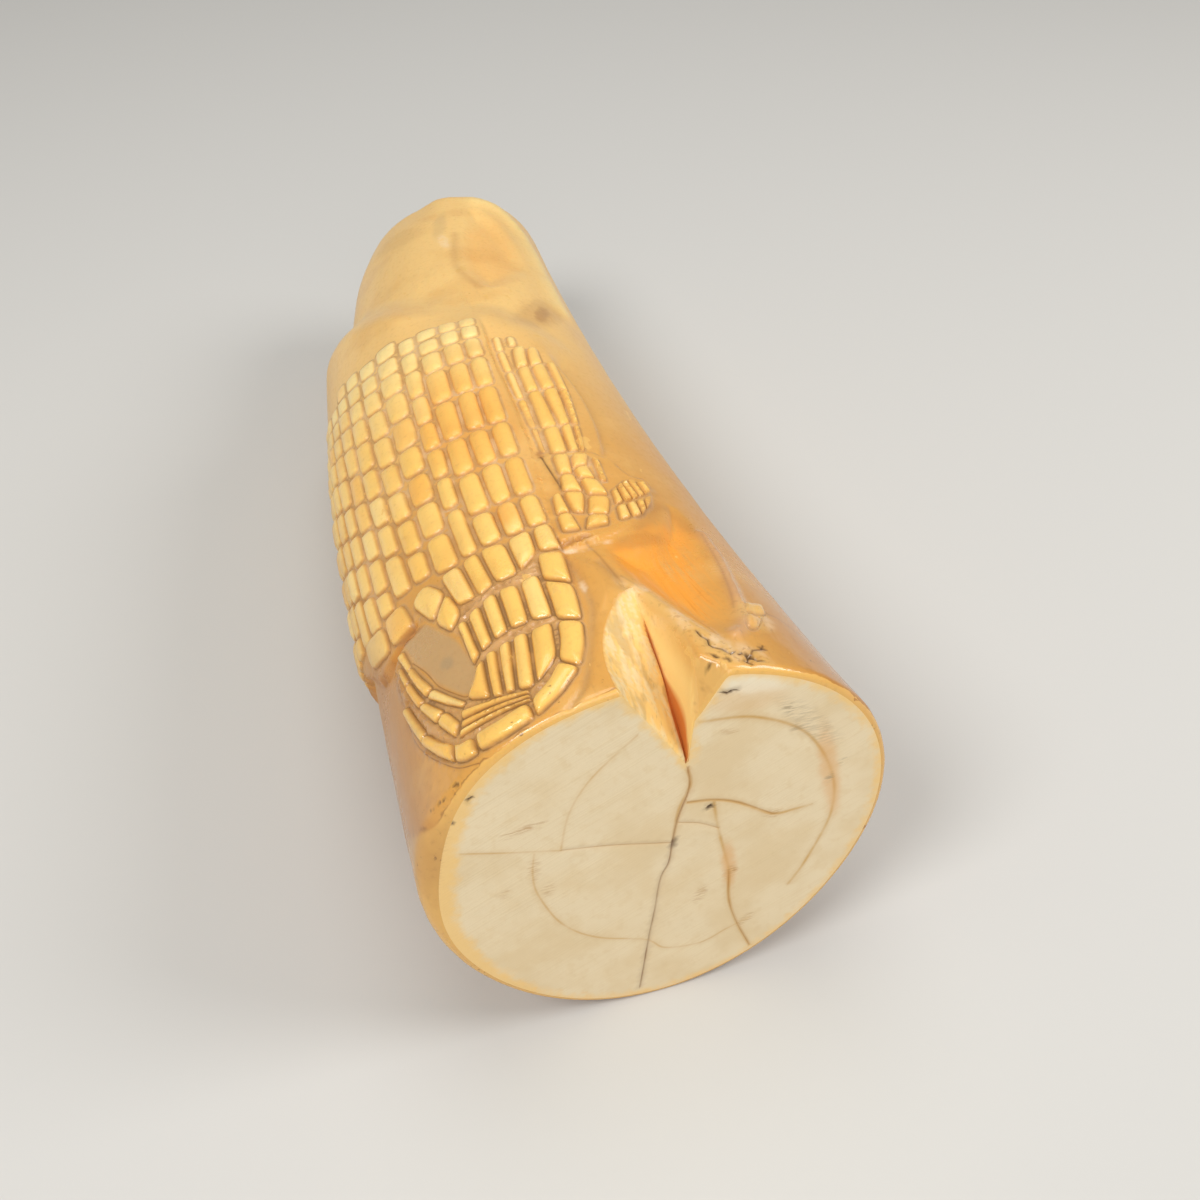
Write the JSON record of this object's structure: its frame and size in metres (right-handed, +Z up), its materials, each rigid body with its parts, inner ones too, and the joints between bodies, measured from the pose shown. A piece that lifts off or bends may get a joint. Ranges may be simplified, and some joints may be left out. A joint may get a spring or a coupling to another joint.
{
  "type": "carved ivory tusk",
  "caption": "Cut length of ivory tusk lying on its side, relief-carved with a scaled hide and curled pad, with a broken notch at its sawn end.",
  "frame": {"origin": "middle of the bottom of the object's box, on the surface the tusk lies on", "axes": "+Z up, +Y along the tusk from its sawn end to its thin end, carving on top; metres"},
  "size_m": [0.0558, 0.1456, 0.0523],
  "materials": {
    "aged_ivory": "polished, aged honey yellow"
  },
  "bodies": {
    "root": {"carved_tusk": "aged_ivory"}
  },
  "joints": []
}
